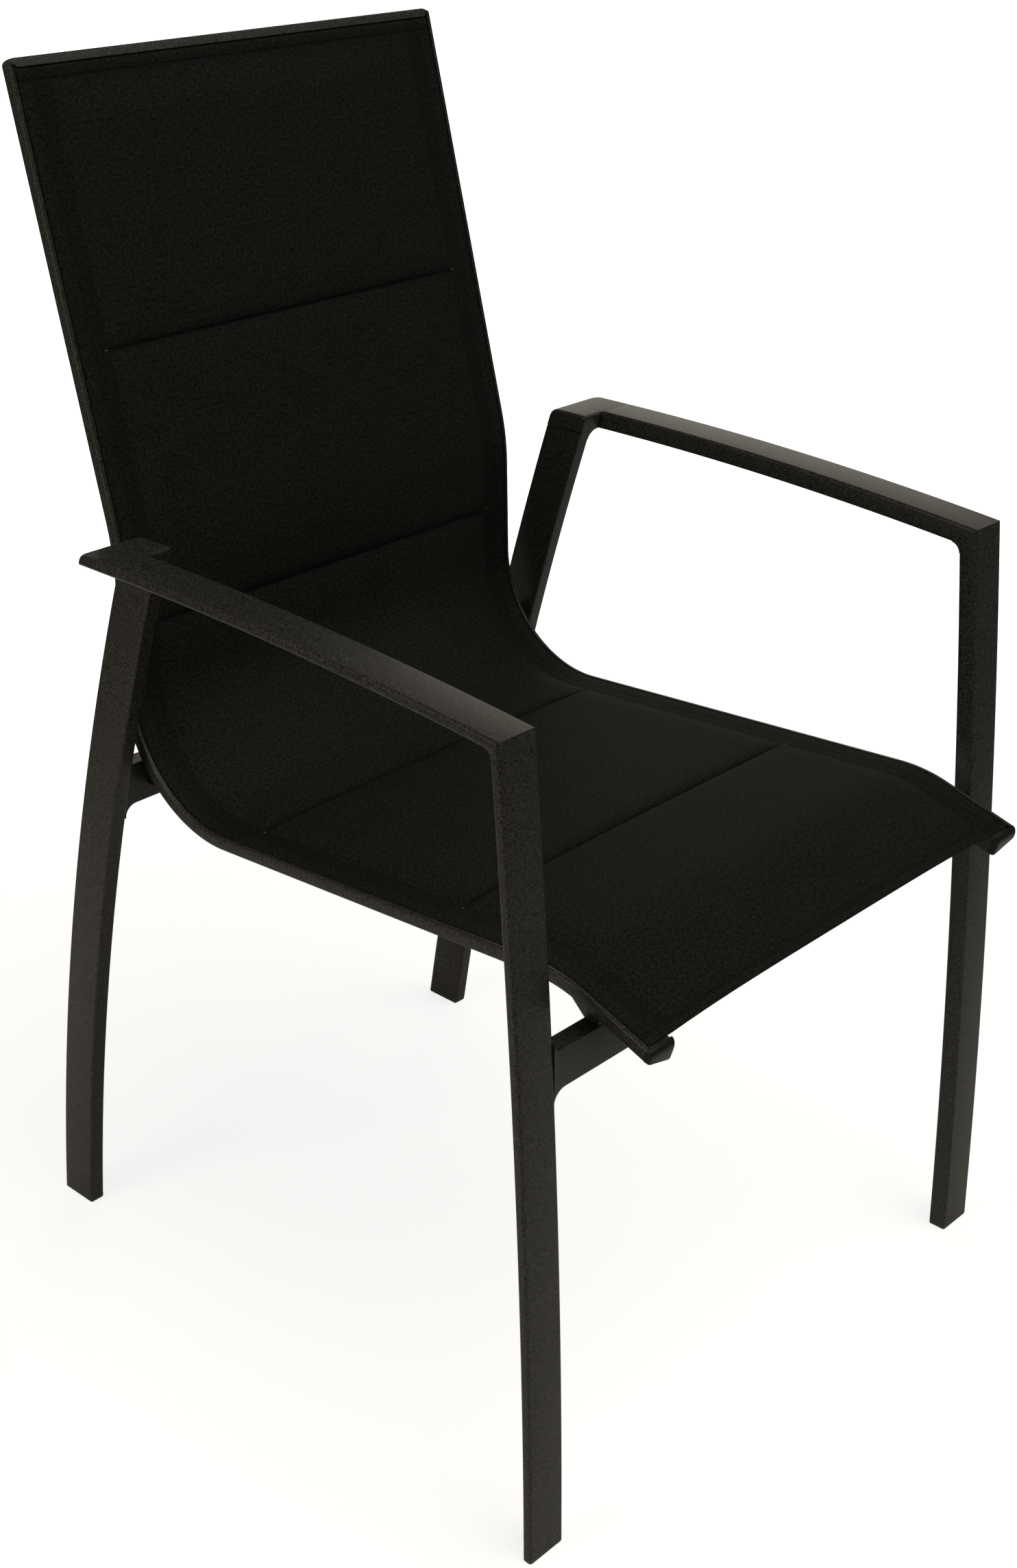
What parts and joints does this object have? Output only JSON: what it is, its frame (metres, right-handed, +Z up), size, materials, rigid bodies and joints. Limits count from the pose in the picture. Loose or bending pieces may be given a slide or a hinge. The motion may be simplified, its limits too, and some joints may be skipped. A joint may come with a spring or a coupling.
{
  "type": "sling patio chair",
  "caption": "High-back stacking garden armchair with a flat-tube metal frame and a padded fabric sling for seat and back.",
  "frame": {"origin": "middle of the footprint, on the floor", "axes": "+Z up, the chair's front faces -Y, +X is the sitter's left"},
  "size_m": [0.5768, 0.666, 0.991],
  "materials": {
    "frame_coat": "charcoal powder coat on aluminium, satin and finely textured",
    "sling_cloth": "black coated polyester mesh, fine plain weave",
    "sling_filling": "quick-dry spacer filling",
    "plastic": "moulded black plastic",
    "rod_plastic": "extruded plastic rod"
  },
  "bodies": {
    "root": {"arm_corner_l": "frame_coat", "arm_corner_r": "frame_coat", "armrest_l": "frame_coat", "armrest_r": "frame_coat", "edge_rod_l": "rod_plastic", "edge_rod_r": "rod_plastic", "edge_rod_top": "rod_plastic", "foot_glide_front_l": "plastic", "foot_glide_front_r": "plastic", "foot_glide_rear_l": "plastic", "foot_glide_rear_r": "plastic", "front_crossbar": "frame_coat", "front_leg_l": "frame_coat", "front_leg_r": "frame_coat", "front_rail_block_l": "frame_coat", "front_rail_block_r": "frame_coat", "rail_end_cap_l": "plastic", "rail_end_cap_r": "plastic", "rear_crossbar": "frame_coat", "rear_leg_l": "frame_coat", "rear_leg_r": "frame_coat", "rear_rail_block_l": "frame_coat", "rear_rail_block_r": "frame_coat", "sling_filling": "sling_filling", "sling_lower_cloth": "sling_cloth", "sling_rail_l": "frame_coat", "sling_rail_r": "frame_coat", "sling_upper_cloth": "sling_cloth", "top_bar": "frame_coat"}
  },
  "joints": []
}
